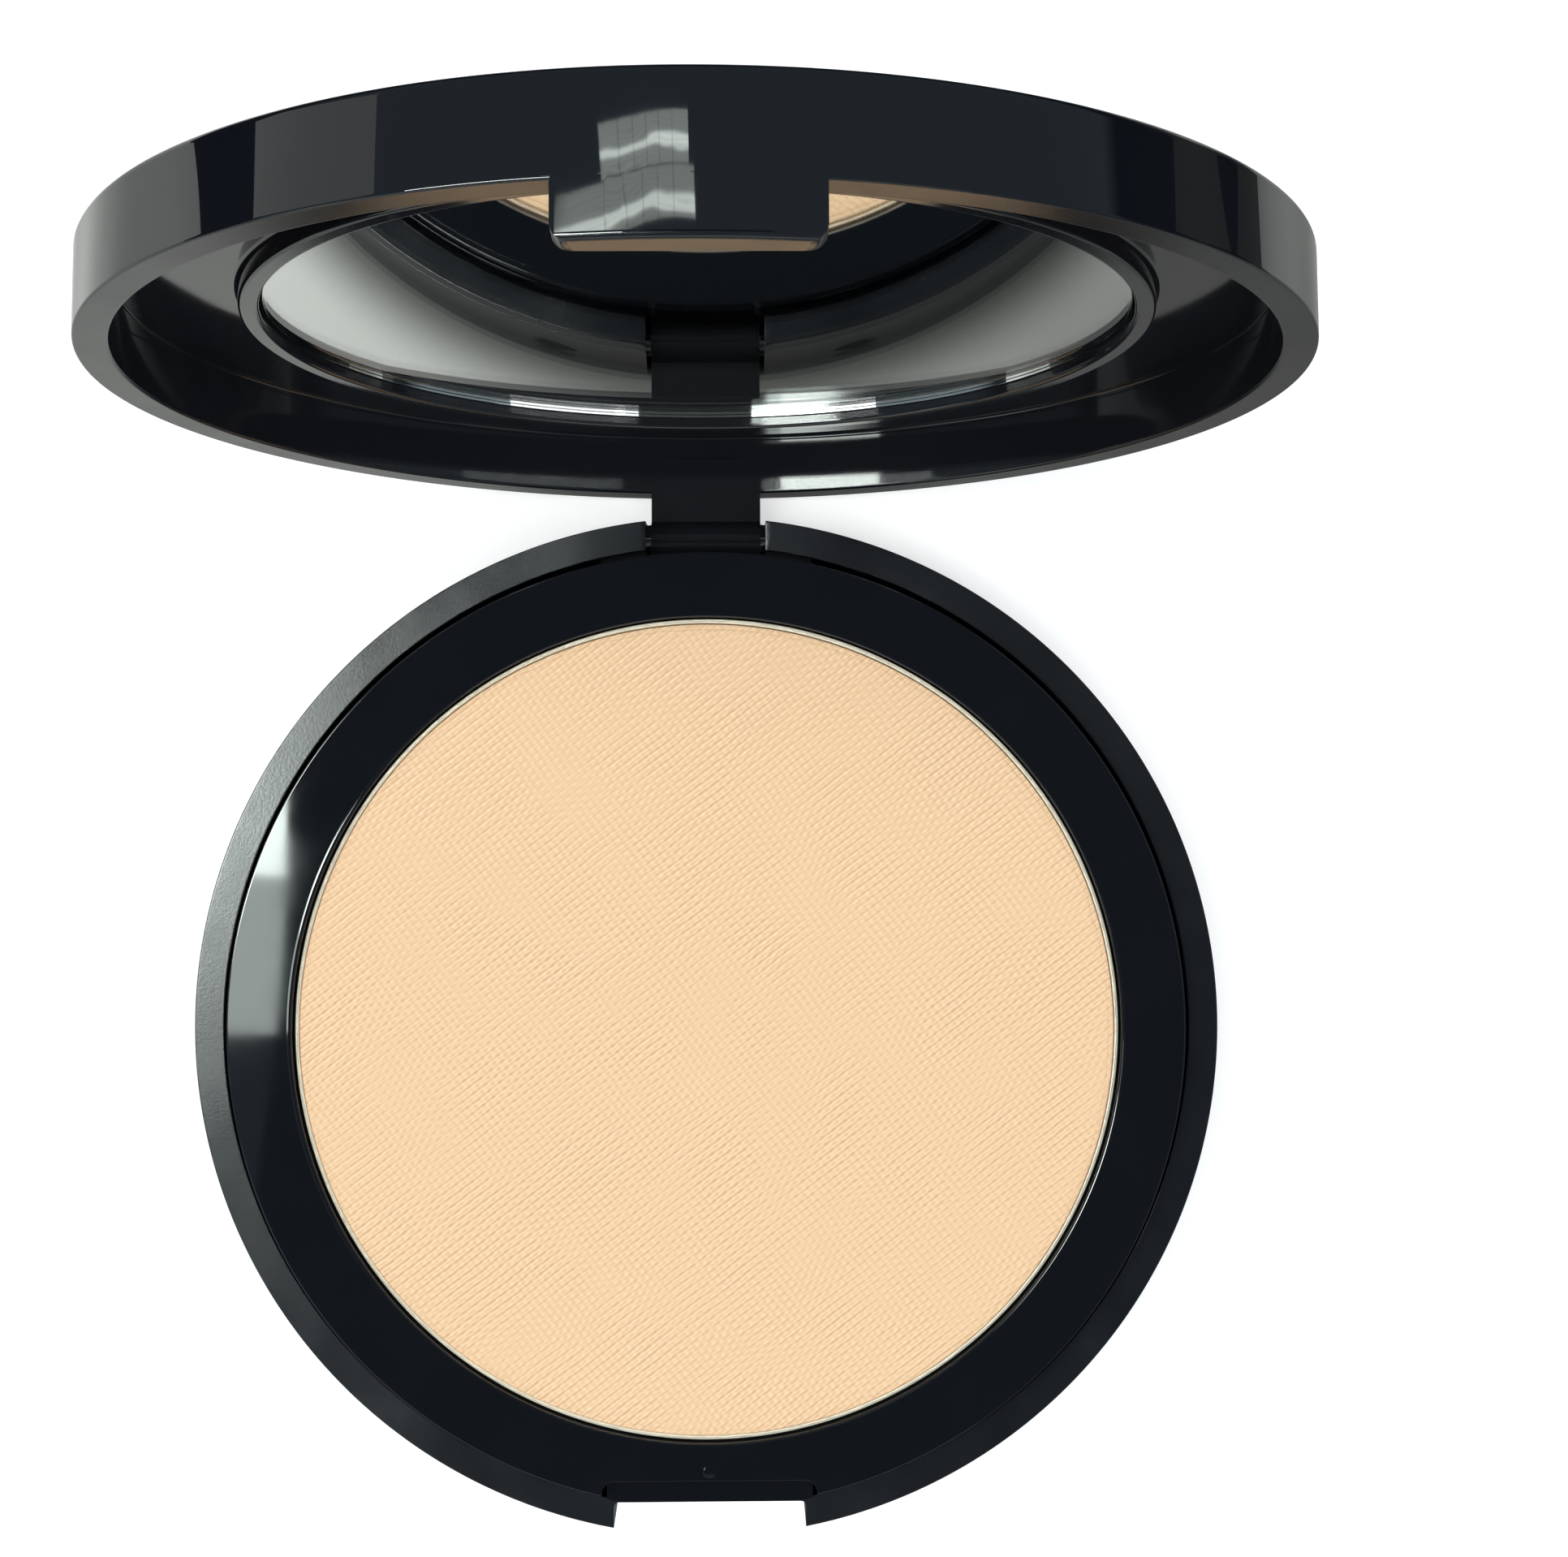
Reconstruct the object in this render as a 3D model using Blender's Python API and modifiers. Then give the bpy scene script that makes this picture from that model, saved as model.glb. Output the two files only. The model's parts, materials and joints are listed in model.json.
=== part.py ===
"""Round pressed-powder compact with a hinged mirror lid, standing open.

Metres, +Z up. The origin is the centre of the flat underside. The hinge is at +Y and the latch
notch at -Y. The lid's shapes are drawn closed and its parent empty, on the hinge axis, opens it.
"""

from math import cos, pi, radians, sin

import bmesh
import bpy

MM = 0.001
SEGMENTS = 72  # facets round each turned piece
FINE_SEGMENTS = 32  # facets round the hinge pin and its holes
CUT = 20.0  # how far a cutter reaches past what it cuts, mm
SHARP_DEGREES = 35.0  # edges that bend more than this are drawn sharp

# Driving dimensions, in millimetres.
CASE_RADIUS = 36.8
LEDGE_Z = 6.6  # top of the base wall, which the closed lid's rim meets
FLOOR_THICK = 1.2
BASE_WELL_RADIUS = 34.75
FRAME_TOP_Z = 8.2
FRAME_RADIUS = 34.25
FRAME_SKIRT_Z = 5.5  # underside of the bezel's rim, above the hinge knuckle
FRAME_HOLLOW_R = (31.3, 33.1)  # the hollow moulded under the bezel
FRAME_HOLLOW_Z = (4.5, 7.1)
TRAY_RADIUS = 31.0
TRAY_FLOOR_Z = 2.6
TRAY_FOOT_Z = 1.5
PAN_RADIUS = 29.5
PAN_BOTTOM_Z = 3.1
PAN_WALL = 0.35
PAN_RIM_Z = 7.5
PAN_GLUE_RADIUS = 14.0
PAN_GLUE_Z = (2.7, 3.0)
POWDER_RADIUS = 29.0
POWDER_BOTTOM_Z = 3.55
POWDER_TOP_Z = 7.85

LID_RIM_Z = 6.85  # the lid's open edge when closed, high enough to swing past the ledge
LID_TOP_Z = 12.4
LID_INNER_RADIUS = 34.7
LID_FLOOR_Z = 11.0
MIRROR_POCKET_Z = 11.7
MIRROR_FACE_Z = 10.4
MIRROR_THICK = 0.9
MIRROR_RADIUS = 26.1
MIRROR_TAPE_RADIUS = 22.0
MIRROR_TAPE_Z = (11.35, 11.6)
RING_INNER_RADIUS = 26.3
RING_OUTER_RADIUS = 27.4
RING_CREST_Z = 9.65

HINGE_Y = 35.0
HINGE_Z = LEDGE_Z - 3.5
OPEN_DEGREES = 98.0  # the lid's opening at rest
KNUCKLE_RADIUS = 1.7
KNUCKLE_GAP = 0.3
ARM_HALF_WIDTH = 3.95
ARM_Y = (34.45, 36.45)
ARM_TOP_Z = 9.25  # where the arm runs out up the inside of the lid's rim
HINGE_NOTCH_HALF_WIDTH = 4.25
PIN_RADIUS = 0.5
PIN_HOLE_RADIUS = 0.58
PIN_X = (-8.6, 8.6)
PIN_HOLE_X = (-13.0, 13.0)  # right through, so that the pin can be pushed in
LUG_HALF_WIDTH = 7.6
LUG_INNER_Y = 31.7
LUG_TOP_Z = 5.0

BEAD_HALF_WIDTH = 4.5  # of the snap bead across the tab's inner face
BEAD_RADIUS = 0.45
BEAD_PROUD = 0.17  # how far the bead stands out of the tab's inner face
CATCH_DEPTH = 0.55  # of the groove that the bead sits in, under the lip of the latch notch
CATCH_Z = (3.5, 5.4)
CATCH_SIDE_GAP = 0.5
TAB_HALF_WIDTH = 6.65
TAB_DROP = 3.0  # how far the latch tab hangs below the lid's rim
TAB_PAD_THICK = 0.8
TAB_PAD_TOP_Z = 9.0
TAB_CUT_HALF_WIDTH = 8.0
LATCH_NOTCH_HALF_WIDTH = 6.9
TAB_FACE_Y = -34.55  # the tab's flat inner face
LATCH_WALL_Y = -34.25
LATCH_BLOCK_INNER_Y = -32.6
LATCH_BLOCK_HALF_WIDTH = 7.45
FRAME_POCKET_Y = -32.3
FRAME_POCKET_HALF_WIDTH = 7.75
FRONT_WALL_HALF_WIDTH = 9.2  # of the bezel left solid beside the pocket

BLACK = (0.012, 0.013, 0.016)
PLASTIC = ("gloss_black", BLACK, 0.12, 0.0)
STEEL = ("steel", (0.55, 0.55, 0.56), 0.25, 1.0)
PAN_METAL = ("pan_metal", (0.80, 0.78, 0.72), 0.3, 1.0)
POWDER = ("powder", (0.90, 0.67, 0.43), 0.95, 0.0)
MIRROR = ("mirror", (0.90, 0.92, 0.91), 0.02, 1.0)
ADHESIVE = ("adhesive", (0.85, 0.84, 0.80), 0.6, 0.0)


def clear_scene():
    for obj in list(bpy.data.objects):
        bpy.data.objects.remove(obj, do_unlink=True)


def collection(name):
    made = bpy.data.collections.new(name)
    bpy.context.scene.collection.children.link(made)
    return made


def material(name, colour, roughness, metallic):
    found = bpy.data.materials.get(name)
    if found:
        return found
    made = bpy.data.materials.new(name)
    made.use_nodes = True
    shader = made.node_tree.nodes["Principled BSDF"]
    shader.inputs["Base Color"].default_value = (*colour, 1.0)
    shader.inputs["Roughness"].default_value = roughness
    shader.inputs["Metallic"].default_value = metallic
    made.diffuse_color = (*colour, 1.0)
    return made


def add_object(name, mesh, group, finish=None):
    obj = bpy.data.objects.new(name, mesh)
    group.objects.link(obj)
    if finish:
        mesh.materials.append(material(*finish))
    return obj


def as_cutter(obj):
    obj.hide_render = True
    obj.display_type = "WIRE"
    return obj


def arc(centre, radius, start, end, steps=4):
    """Profile points (r, z) along an arc, angles in degrees from the +r axis."""
    angles = [radians(start + (end - start) * i / steps) for i in range(steps + 1)]
    return [(centre[0] + radius * cos(a), centre[1] + radius * sin(a)) for a in angles]


def turned(name, profile, group, finish=None, closed=False, segments=SEGMENTS):
    """A profile of (r, z) points in mm, outer side running down, turned about Z.

    An open profile starts and ends on the axis, and a closed one makes a ring."""
    mesh = bpy.data.meshes.new(name)
    points = [(r * MM, 0.0, z * MM) for r, z in profile]
    edges = [(i, i + 1) for i in range(len(points) - 1)]
    if closed:
        edges.append((len(points) - 1, 0))
    mesh.from_pydata(points, edges, [])
    obj = add_object(name, mesh, group, finish)
    screw = obj.modifiers.new("turn", "SCREW")
    screw.axis = "Z"
    screw.steps = segments
    screw.render_steps = segments
    screw.use_merge_vertices = True
    screw.merge_threshold = 0.00001
    screw.use_smooth_shade = False
    return obj


def block(name, x, y, z, group, finish=None):
    """A box between pairs of limits in mm."""
    mesh = bpy.data.meshes.new(name)
    shape = bmesh.new()
    bmesh.ops.create_cube(shape, size=1.0)
    for vert in shape.verts:
        for axis, (low, high) in enumerate((x, y, z)):
            share = vert.co[axis] + 0.5
            vert.co[axis] = (low + (high - low) * share) * MM
    shape.to_mesh(mesh)
    shape.free()
    return add_object(name, mesh, group, finish)


def rod(name, radius, x, y, z, group, finish=None, segments=FINE_SEGMENTS):
    """A cylinder along X between a pair of x limits, its axis at y and z, in mm."""
    mesh = bpy.data.meshes.new(name)
    shape = bmesh.new()
    bmesh.ops.create_cone(
        shape,
        cap_ends=True,
        segments=segments,
        radius1=radius * MM,
        radius2=radius * MM,
        depth=(x[1] - x[0]) * MM,
    )
    middle = (x[0] + x[1]) / 2
    for vert in shape.verts:
        across, up, along = vert.co
        vert.co = (along + middle * MM, across + y * MM, up + z * MM)
    shape.to_mesh(mesh)
    shape.free()
    return add_object(name, mesh, group, finish)


def combine(obj, operation, *others):
    """Adds a Boolean modifier for each of the other objects, which become helpers."""
    for other in others:
        boolean = obj.modifiers.new(other.name, "BOOLEAN")
        boolean.operation = operation
        boolean.solver = "EXACT"
        boolean.object = as_cutter(other)
    return obj


def make_base_shell(parts, helpers):
    edge = 1.0  # round of the bottom edge
    lip = 0.25  # round of the ledge's outer edge
    profile = [(0, LEDGE_Z)]
    profile += arc((CASE_RADIUS - lip, LEDGE_Z - lip), lip, 90, 0, 2)
    profile += arc((CASE_RADIUS - edge, edge), edge, 0, -90)
    profile += [(0, 0)]
    shell = turned("base_shell", profile, parts, PLASTIC)

    well = turned(
        "base_well",
        [(0, CUT), (BASE_WELL_RADIUS, CUT), (BASE_WELL_RADIUS, FLOOR_THICK), (0, FLOOR_THICK)],
        helpers,
    )
    half = LATCH_BLOCK_HALF_WIDTH
    latch_y = (-2 * CASE_RADIUS, LATCH_BLOCK_INNER_Y)
    latch_block = block("latch_block", (-half, half), latch_y, (-CUT, 2 * CUT), helpers)
    half = LUG_HALF_WIDTH
    lug_y = (LUG_INNER_Y, 2 * CASE_RADIUS)
    hinge_block = block("hinge_block", (-half, half), lug_y, (-CUT, LUG_TOP_Z), helpers)
    combine(well, "DIFFERENCE", latch_block, hinge_block)

    half = LATCH_NOTCH_HALF_WIDTH
    notch_y = (-2 * CASE_RADIUS, LATCH_WALL_Y)
    latch_notch = block("latch_notch", (-half, half), notch_y, (-CUT, CUT), helpers)
    half = BEAD_HALF_WIDTH + CATCH_SIDE_GAP
    catch_y = (LATCH_WALL_Y - CATCH_DEPTH, LATCH_WALL_Y + CATCH_DEPTH)
    catch_groove = block("catch_groove", (-half, half), catch_y, CATCH_Z, helpers)
    half = HINGE_NOTCH_HALF_WIDTH
    notch_y = (HINGE_Y - KNUCKLE_RADIUS - KNUCKLE_GAP, 2 * CASE_RADIUS)
    hinge_notch = block("hinge_notch", (-half, half), notch_y, (FLOOR_THICK, CUT), helpers)
    pin_hole = rod("lug_pin_hole", PIN_HOLE_RADIUS, PIN_HOLE_X, HINGE_Y, HINGE_Z, helpers)
    combine(shell, "DIFFERENCE", well, latch_notch, catch_groove, hinge_notch, pin_hole)


def make_inner_frame(parts, helpers):
    """The tray with the raised bezel that the pan sits in."""
    well_radius = PAN_RADIUS + 0.3
    lip = 0.5  # the bezel's round into the well
    edge = 0.3
    profile = [(0, TRAY_FLOOR_Z), (well_radius, TRAY_FLOOR_Z)]
    profile += arc((well_radius + lip, FRAME_TOP_Z - lip), lip, 180, 90, 4)
    profile += arc((FRAME_RADIUS - edge, FRAME_TOP_Z - edge), edge, 90, 0, 3)
    profile += [(FRAME_RADIUS, FRAME_SKIRT_Z), (TRAY_RADIUS, FRAME_SKIRT_Z)]
    profile += [(TRAY_RADIUS, TRAY_FOOT_Z), (0, TRAY_FOOT_Z)]
    frame = turned("inner_frame", profile, parts, PLASTIC)

    inner, outer = FRAME_HOLLOW_R
    low, high = FRAME_HOLLOW_Z
    hollow = [(inner, high), (outer, high), (outer, low), (inner, low)]
    underside = turned("bezel_hollow", hollow, helpers, closed=True)
    half = FRONT_WALL_HALF_WIDTH
    front_wall = block("front_wall", (-half, half), (-2 * CUT, 0), (0, CUT), helpers)
    combine(underside, "DIFFERENCE", front_wall)
    half = FRAME_POCKET_HALF_WIDTH
    pocket_y = (-2 * CUT, FRAME_POCKET_Y)
    pocket = block("frame_pocket", (-half, half), pocket_y, (-CUT, CUT), helpers)
    combine(frame, "DIFFERENCE", underside, pocket)


def glue_disc(name, radius, z, parts):
    low, high = z
    return turned(name, [(0, high), (radius, high), (radius, low), (0, low)], parts, ADHESIVE)


def make_pan(parts):
    bend = 1.2  # outer radius of the drawn corner
    inner = PAN_RADIUS - PAN_WALL
    centre_z = PAN_BOTTOM_Z + bend
    profile = [(0, PAN_BOTTOM_Z + PAN_WALL)]
    profile += arc((PAN_RADIUS - bend, centre_z), bend - PAN_WALL, -90, 0)
    profile += [(inner, PAN_RIM_Z), (PAN_RADIUS, PAN_RIM_Z)]
    profile += arc((PAN_RADIUS - bend, centre_z), bend, 0, -90)
    profile += [(0, PAN_BOTTOM_Z)]
    turned("powder_pan", profile, parts, PAN_METAL)
    glue_disc("pan_adhesive", PAN_GLUE_RADIUS, PAN_GLUE_Z, parts)


def make_powder(parts):
    shoulder = 0.45
    bend = 1.0
    shoulder_centre = (POWDER_RADIUS - shoulder, POWDER_TOP_Z - shoulder)
    profile = [(0, POWDER_TOP_Z)]
    profile += arc(shoulder_centre, shoulder, 90, 0, 3)
    profile += arc((POWDER_RADIUS - bend, POWDER_BOTTOM_Z + bend), bend, 0, -90, 3)
    profile += [(0, POWDER_BOTTOM_Z)]
    turned("pressed_powder", profile, parts, POWDER)


def make_hinge_pin(parts):
    rod("hinge_pin", PIN_RADIUS, PIN_X, HINGE_Y, HINGE_Z, parts, STEEL)


def make_lid_shell(parts, helpers):
    tab_z = LID_RIM_Z - TAB_DROP
    edge = 0.4  # round of the lid's outer edge
    corner = 0.3
    crest = 0.25  # round of the bead's crest
    profile = [(0, LID_TOP_Z)]
    profile += arc((CASE_RADIUS - edge, LID_TOP_Z - edge), edge, 90, 0)
    profile += [(CASE_RADIUS, tab_z), (LID_INNER_RADIUS, tab_z)]
    profile += arc((LID_INNER_RADIUS - corner, LID_FLOOR_Z - corner), corner, 0, 90, 2)
    profile += [(RING_OUTER_RADIUS, LID_FLOOR_Z)]
    profile += arc((RING_OUTER_RADIUS - crest, RING_CREST_Z + crest), crest, 0, -90, 2)
    profile += arc((RING_INNER_RADIUS + crest, RING_CREST_Z + crest), crest, -90, -180, 2)
    profile += [(RING_INNER_RADIUS, MIRROR_POCKET_Z), (0, MIRROR_POCKET_Z)]
    lid = turned("lid_shell", profile, parts, PLASTIC)

    inner = LID_INNER_RADIUS - 2.0  # clear of the rim's inner wall
    below = [(2 * CUT, LID_RIM_Z), (2 * CUT, -CUT), (inner, -CUT), (inner, LID_RIM_Z)]
    trim = turned("rim_trim", below, helpers, closed=True)
    half = TAB_HALF_WIDTH
    keep_tab = block("keep_tab", (-half, half), (-3 * CUT, 0), (-2 * CUT, CUT), helpers)
    combine(trim, "DIFFERENCE", keep_tab)
    combine(lid, "DIFFERENCE", trim)

    half = ARM_HALF_WIDTH
    arm = block("hinge_arm", (-half, half), ARM_Y, (HINGE_Z, ARM_TOP_Z), helpers)
    knuckle = rod("knuckle", KNUCKLE_RADIUS, (-half, half), HINGE_Y, HINGE_Z, helpers)
    half = TAB_HALF_WIDTH - 0.05
    pad_y = (TAB_FACE_Y - TAB_PAD_THICK, TAB_FACE_Y)
    tab_pad = block("tab_pad", (-half, half), pad_y, (tab_z, TAB_PAD_TOP_Z), helpers)
    half = TAB_CUT_HALF_WIDTH
    tab_cut = block("tab_cut", (-half, half), (TAB_FACE_Y, -CUT), (-CUT, LID_RIM_Z), helpers)
    half = BEAD_HALF_WIDTH
    bead_y = TAB_FACE_Y - BEAD_RADIUS + BEAD_PROUD
    bead_z = tab_z + BEAD_RADIUS + 0.05
    bead = rod("tab_bead", BEAD_RADIUS, (-half, half), bead_y, bead_z, helpers, segments=16)
    combine(lid, "UNION", arm, knuckle)
    combine(lid, "DIFFERENCE", tab_cut)
    combine(lid, "UNION", tab_pad, bead)
    bore_x = (-LUG_HALF_WIDTH, LUG_HALF_WIDTH)
    pin_hole = rod("knuckle_pin_hole", PIN_HOLE_RADIUS, bore_x, HINGE_Y, HINGE_Z, helpers)
    combine(lid, "DIFFERENCE", pin_hole)
    return [lid, trim, keep_tab, arm, knuckle, tab_cut, tab_pad, bead, pin_hole]


def make_mirror(parts):
    face = MIRROR_FACE_Z
    back = face + MIRROR_THICK
    edge = 0.15
    profile = [
        (0, back),
        (MIRROR_RADIUS, back),
        (MIRROR_RADIUS, face + edge),
        (MIRROR_RADIUS - edge, face),
        (0, face),
    ]
    mirror = turned("mirror", profile, parts, MIRROR)
    return [mirror, glue_disc("mirror_adhesive", MIRROR_TAPE_RADIUS, MIRROR_TAPE_Z, parts)]


def open_lid(pieces, group):
    """Parents the lid's pieces to an empty on the hinge axis and turns it open."""
    hinge = bpy.data.objects.new("lid_hinge", None)
    group.objects.link(hinge)
    hinge.location = (0, HINGE_Y * MM, HINGE_Z * MM)
    hinge.rotation_euler = (-OPEN_DEGREES * pi / 180, 0, 0)
    for piece in pieces:
        piece.parent = hinge
        piece.location = (0, -HINGE_Y * MM, -HINGE_Z * MM)


def freeze_and_shade(obj):
    """Applies the modifiers, then shades the curved faces smooth and leaves the corners sharp."""
    graph = bpy.context.evaluated_depsgraph_get()
    mesh = bpy.data.meshes.new_from_object(obj.evaluated_get(graph))
    obj.modifiers.clear()
    obj.data = mesh
    mesh.shade_smooth()
    mesh.set_sharp_from_angle(angle=radians(SHARP_DEGREES))


def main():
    clear_scene()
    parts = collection("powder_compact")
    helpers = collection("cutters")
    make_base_shell(parts, helpers)
    make_inner_frame(parts, helpers)
    make_pan(parts)
    make_powder(parts)
    make_hinge_pin(parts)
    lid_pieces = make_lid_shell(parts, helpers) + make_mirror(parts)
    open_lid(lid_pieces, parts)
    for obj in parts.objects:
        if obj.type == "MESH":
            freeze_and_shade(obj)


main()
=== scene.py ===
"""Looks of a round pressed-powder compact that stands open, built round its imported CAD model.

The CAD's frame is in metres: +Z up, +Y to the hinge, +X to the right. The shapes here are in
millimetres, their profiles as (radius, height) pairs, and MM turns them into metres. The lid's
shapes are drawn closed and then turned open about the hinge axis.
"""

import json
from math import ceil, cos, pi, radians, sin, tan

import bmesh
import bpy
from mathutils import Euler, Matrix, Vector, noise

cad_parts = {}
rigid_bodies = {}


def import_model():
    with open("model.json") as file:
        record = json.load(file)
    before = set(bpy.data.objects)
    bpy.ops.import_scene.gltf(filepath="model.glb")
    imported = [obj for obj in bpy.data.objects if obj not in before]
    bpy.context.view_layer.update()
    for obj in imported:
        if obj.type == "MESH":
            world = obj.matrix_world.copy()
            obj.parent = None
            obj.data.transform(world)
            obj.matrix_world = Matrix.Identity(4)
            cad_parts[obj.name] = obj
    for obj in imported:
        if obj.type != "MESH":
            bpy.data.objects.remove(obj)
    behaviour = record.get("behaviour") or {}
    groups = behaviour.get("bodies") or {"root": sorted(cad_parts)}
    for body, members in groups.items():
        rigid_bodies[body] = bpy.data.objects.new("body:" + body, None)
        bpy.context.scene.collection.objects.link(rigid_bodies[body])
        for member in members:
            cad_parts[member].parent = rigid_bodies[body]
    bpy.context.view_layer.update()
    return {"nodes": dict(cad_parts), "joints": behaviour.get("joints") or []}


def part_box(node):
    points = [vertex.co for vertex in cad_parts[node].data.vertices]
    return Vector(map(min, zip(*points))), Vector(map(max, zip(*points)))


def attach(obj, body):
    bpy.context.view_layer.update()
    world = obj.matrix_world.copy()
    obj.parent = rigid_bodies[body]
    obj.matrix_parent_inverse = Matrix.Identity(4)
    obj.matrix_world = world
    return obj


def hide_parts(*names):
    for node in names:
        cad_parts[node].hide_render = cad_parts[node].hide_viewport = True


for leftover in list(bpy.data.objects):
    bpy.data.objects.remove(leftover, do_unlink=True)
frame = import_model()

MM = 0.001
RING_SEGMENTS = 288
SHARP_DEGREES = 32.0
BEVEL_DEGREES = 42.0

# The frame's own measures, in millimetres.
HINGE = frame["joints"][0]
OPEN_DEGREES = -HINGE["range_deg"][0]
HINGE_Y = HINGE["pos_m"][1] / MM
HINGE_Z = HINGE["pos_m"][2] / MM


def rest_box(node):
    """(lowest corner, highest corner) of a CAD node at rest, in mm."""
    low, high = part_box(node)
    return low / MM, high / MM


def about_hinge(degrees):
    """The turn about the hinge axis, in metres. Positive degrees open the lid."""
    axle = Matrix.Translation(Vector((0, HINGE_Y * MM, HINGE_Z * MM)))
    return axle @ Matrix.Rotation(-radians(degrees), 4, "X") @ axle.inverted()


def closed_box(node):
    """rest_box for a lid node as it lies when the lid is closed."""
    shut = about_hinge(-OPEN_DEGREES)
    points = [shut @ v.co for v in frame["nodes"][node].data.vertices]
    low = Vector([min(p[i] for p in points) for i in range(3)])
    high = Vector([max(p[i] for p in points) for i in range(3)])
    return low / MM, high / MM


CASE_RADIUS, _, LEDGE_Z = rest_box("base_shell")[1]
TRAY_RADIUS, _, TRAY_TOP_Z = rest_box("inner_frame")[1]
PAN_LOW, PAN_HIGH = rest_box("powder_pan")
PAN_RADIUS = PAN_HIGH.x
POWDER_LOW, POWDER_HIGH = rest_box("pressed_powder")
PIN_LOW, PIN_HIGH = rest_box("hinge_pin")
LID_TOP_Z = closed_box("lid_shell")[1].z
MIRROR_LOW, MIRROR_HIGH = closed_box("mirror")

# Measures that the frame doesn't give, in millimetres.
FLOOR_THICK = 1.2
WELL_RADIUS = 34.65
TRAY_SKIRT_Z = 5.5
TRAY_WALL_RADIUS = 31.0
TRAY_FOOT_Z = 1.5
TRAY_POCKET_HALF = 7.75
TRAY_POCKET_Y = -32.3
LID_INNER_RADIUS = 34.7
LID_RIM_Z = LEDGE_Z + 0.25
BEAD_RADIUS = 27.45
PIN_RADIUS = 0.5
PIN_HOLE_RADIUS = 0.58
PIN_HOLE_HALF = 13.0
KNUCKLE_RADIUS = 1.7
ARM_HALF = 3.95
ARM_Y = (34.45, 36.45)
ARM_TOP_Z = LID_RIM_Z + 2.5
HINGE_NOTCH_HALF = 4.3
LUG_HALF = 7.6
LUG_TOP_Z = HINGE_Z + 1.9
LATCH_WALL_HALF = 7.45
LATCH_WALL_Y = (-34.9, -32.6)
LATCH_NOTCH_HALF = 6.95
LATCH_NOTCH_Y = -34.25
CATCH_HALF = 5.0
CATCH_Y = (-35.5, -33.7)
CATCH_Z = (LEDGE_Z - 3.1, LEDGE_Z - 1.2)
TAB_HALF = 6.65
TAB_FACE_Y = -34.55
TAB_END_Z = HINGE_Z + 0.75
SNAP_RADIUS = 0.45
SNAP_HALF = 4.5
SNAP_Y = -34.83
AWAY = 60.0  # past the whole object, for what cuts it
CUT_Z = (-1.0, 20.0)


# ---------------------------------------------------------------- mesh helpers


def add_object(name, mesh):
    obj = bpy.data.objects.new(name, mesh)
    bpy.context.scene.collection.objects.link(obj)
    return obj


def outline(*corners):
    """A profile through (r, z) corners. A third number rounds that corner to its radius.

    Points just outside each arc keep the flat stretches flat in the shading.
    """
    beyond = 0.04
    step = radians(13)
    points = []
    for i, (r, z, *rounding) in enumerate(corners):
        spot = Vector((r, z))
        if not rounding:
            points.append(spot)
            continue
        radius = rounding[0]
        before = (Vector(corners[i - 1][:2]) - spot).normalized()
        after = (Vector(corners[(i + 1) % len(corners)][:2]) - spot).normalized()
        half = before.angle(after) / 2
        reach = radius / tan(half)
        middle = spot + (before + after).normalized() * radius / sin(half)
        start = spot + before * reach - middle
        sweep = -start.angle_signed(spot + after * reach - middle)
        steps = max(2, ceil(abs(sweep) / step))
        points.append(spot + before * (reach + beyond))
        turns = [Matrix.Rotation(sweep * k / steps, 2) for k in range(steps + 1)]
        points += [middle + turn @ start for turn in turns]
        points.append(spot + after * (reach + beyond))
    return [tuple(point) for point in points]


def turned(name, profile, ring=False, segments=RING_SEGMENTS):
    """Turns a profile about Z. It ends on the axis, or closes on itself if it's a ring."""
    mesh = bpy.data.meshes.new(name)
    shape = bmesh.new()
    turns = [2 * pi * k / segments for k in range(segments)]
    loops = []
    for r, z in profile:
        if r < 1e-6:
            loops.append([shape.verts.new((0, 0, z * MM))])
        else:
            spots = [(r * cos(t) * MM, r * sin(t) * MM, z * MM) for t in turns]
            loops.append([shape.verts.new(spot) for spot in spots])
    pairs = list(zip(loops, loops[1:]))
    if ring:
        pairs.append((loops[-1], loops[0]))
    for upper, lower in pairs:
        for k in range(segments):
            after = (k + 1) % segments
            if len(upper) == 1:
                shape.faces.new((upper[0], lower[k], lower[after]))
            elif len(lower) == 1:
                shape.faces.new((upper[k], lower[0], upper[after]))
            else:
                shape.faces.new((upper[k], lower[k], lower[after], upper[after]))
    bmesh.ops.recalc_face_normals(shape, faces=shape.faces)
    shape.to_mesh(mesh)
    shape.free()
    return add_object(name, mesh)


def slab(name, x, y, z, corner=0.0, axis=2):
    """A box between pairs of limits in mm, its edges along one axis rounded to corner."""
    mesh = bpy.data.meshes.new(name)
    shape = bmesh.new()
    bmesh.ops.create_cube(shape, size=1.0)
    for vert in shape.verts:
        for i, (low, high) in enumerate((x, y, z)):
            vert.co[i] = (low + (high - low) * (vert.co[i] + 0.5)) * MM
    if corner:
        along = [e for e in shape.edges if abs((e.verts[0].co - e.verts[1].co)[axis]) > 1e-7]
        bmesh.ops.bevel(
            shape, geom=along, offset=corner * MM, segments=5, profile=0.5, affect="EDGES"
        )
    shape.to_mesh(mesh)
    shape.free()
    return add_object(name, mesh)


def rod(name, radius, x, y, z, segments=64):
    """A cylinder along X between a pair of x limits, in mm."""
    mesh = bpy.data.meshes.new(name)
    shape = bmesh.new()
    bmesh.ops.create_cone(
        shape,
        cap_ends=True,
        segments=segments,
        radius1=radius * MM,
        radius2=radius * MM,
        depth=(x[1] - x[0]) * MM,
    )
    middle = (x[0] + x[1]) / 2
    for vert in shape.verts:
        across, up, along = vert.co
        vert.co = (along + middle * MM, across + y * MM, up + z * MM)
    shape.to_mesh(mesh)
    shape.free()
    return add_object(name, mesh)


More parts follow.
